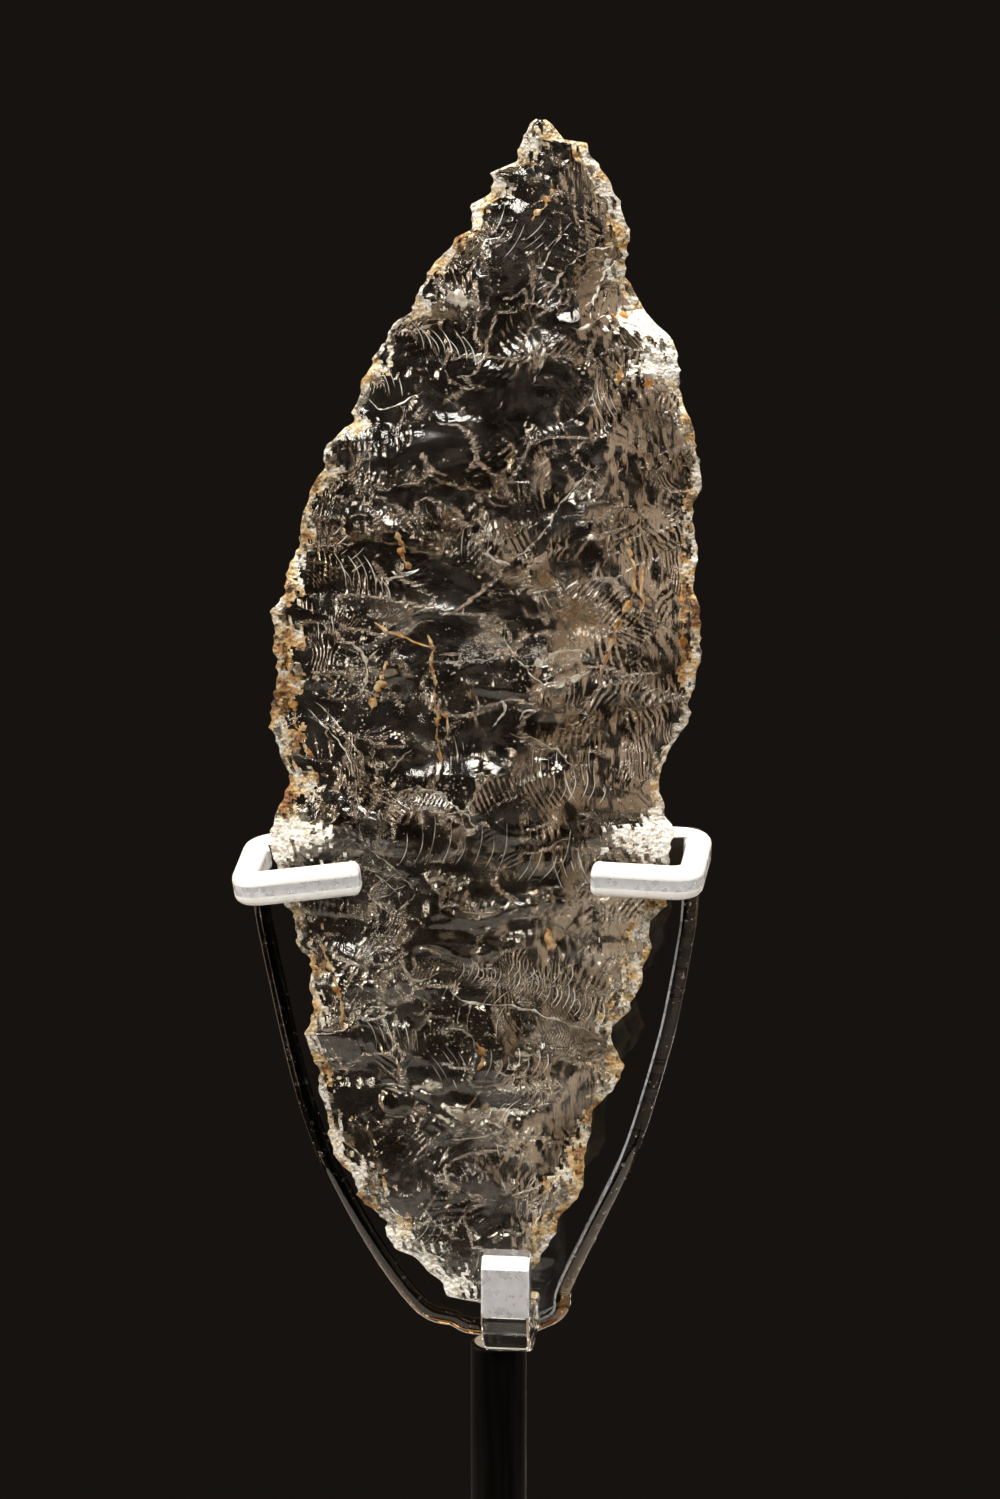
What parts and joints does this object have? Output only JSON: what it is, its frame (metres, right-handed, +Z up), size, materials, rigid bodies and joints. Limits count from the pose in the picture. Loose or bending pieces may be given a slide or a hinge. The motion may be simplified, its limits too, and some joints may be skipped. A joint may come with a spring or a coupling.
{
  "type": "rock crystal leaf blade on display mount",
  "caption": "Leaf-shaped blade flaked from rock crystal, held upright in a clear acrylic cradle on a black rod with a round foot.",
  "frame": {"origin": "centre of the foot's underside, on the rod's axis", "axes": "+Z up along the rod to the blade's tip, -Y towards the viewer, who faces the blade's flat side, +X to the viewer's right"},
  "size_m": [0.07, 0.07, 0.1793],
  "materials": {
    "rock_crystal": "clear, slightly smoky rock crystal, flaked, with iron-stained edges and cracks",
    "clear_acrylic": "clear polished acrylic with a rounded rim",
    "black_rod": "semi-matt black paint",
    "black_foot": "matt black paint"
  },
  "bodies": {
    "root": {"blade": "rock_crystal", "cradle": "clear_acrylic", "rod": "black_rod", "foot": "black_foot"}
  },
  "joints": []
}
